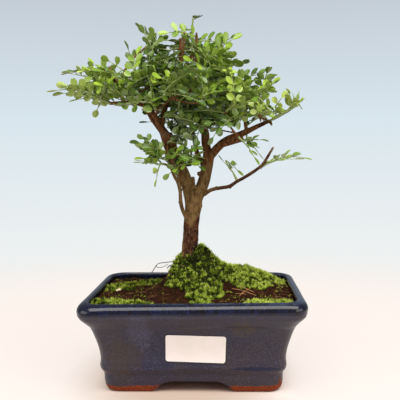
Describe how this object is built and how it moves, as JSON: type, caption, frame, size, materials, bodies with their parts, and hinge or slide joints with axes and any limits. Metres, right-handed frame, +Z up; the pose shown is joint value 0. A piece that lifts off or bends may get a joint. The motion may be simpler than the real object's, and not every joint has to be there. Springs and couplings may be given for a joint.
{
  "type": "japanese pepper bonsai",
  "caption": "Small Japanese pepper tree with pinnate leaves in a mossy soil bed, in a glazed rectangular pot on bracket feet.",
  "frame": {"origin": "on the ground, below the middle of the whole outline of tree and pot", "axes": "+Z up, the tallest side; +X along the pot's long side, to the right as seen from the front; +Y from the front with the label to the back"},
  "size_m": [0.1701, 0.107, 0.2467],
  "materials": {
    "glaze": "glossy dark blue glaze with brown-black streaks and pale blue speckle, bare terracotta at the feet",
    "soil": "matt dark reddish-brown peat crumbs",
    "moss": "matt bright to dark green moss tufts",
    "bark": "matt mid-brown bark with grey-tan mottling",
    "leaf": "semi-gloss mid to dark green leaflets",
    "young_leaf": "semi-gloss yellow-green young leaflets",
    "label_paper": "smooth cream-white coated paper, blank",
    "screen_plastic": "matt black plastic net"
  },
  "bodies": {
    "root": {"pot": "glaze", "drain_screen_left": "screen_plastic", "drain_screen_right": "screen_plastic", "blank_label": "label_paper", "trunk_and_branches": "bark", "soil": "soil", "moss_mound": "moss", "moss_left": "moss", "moss_front_left": "moss", "moss_front_right": "moss", "leafy_shoot_01": "young_leaf", "leafy_shoot_02": "leaf", "leafy_shoot_03": "leaf", "leafy_shoot_04": "leaf", "leafy_shoot_05": "young_leaf", "leafy_shoot_06": "leaf", "leafy_shoot_07": "leaf", "leafy_shoot_08": "leaf", "leafy_shoot_09": "young_leaf", "leafy_shoot_10": "leaf", "leafy_shoot_11": "leaf", "leafy_shoot_12": "leaf", "leafy_shoot_13": "leaf", "leafy_shoot_14": "young_leaf", "leafy_shoot_15": "leaf", "leafy_shoot_16": "leaf", "leafy_shoot_17": "leaf", "leafy_shoot_18": "leaf", "leafy_shoot_19": "leaf", "leafy_shoot_20": "leaf", "leafy_shoot_21": "leaf", "leafy_shoot_22": "leaf", "leafy_shoot_23": "leaf", "leafy_shoot_24": "leaf", "leafy_shoot_25": "young_leaf", "leafy_shoot_26": "leaf", "leafy_shoot_27": "young_leaf", "leafy_shoot_28": "leaf", "leafy_shoot_29": "leaf", "leafy_shoot_30": "leaf", "leafy_shoot_31": "leaf", "leafy_shoot_32": "leaf", "leafy_shoot_33": "leaf", "leafy_shoot_34": "leaf", "leafy_shoot_35": "leaf", "leafy_shoot_36": "leaf", "leafy_shoot_37": "leaf", "leafy_shoot_38": "leaf", "leafy_shoot_39": "leaf", "leafy_shoot_40": "leaf", "leafy_shoot_41": "leaf", "leafy_shoot_42": "leaf"}
  },
  "joints": []
}
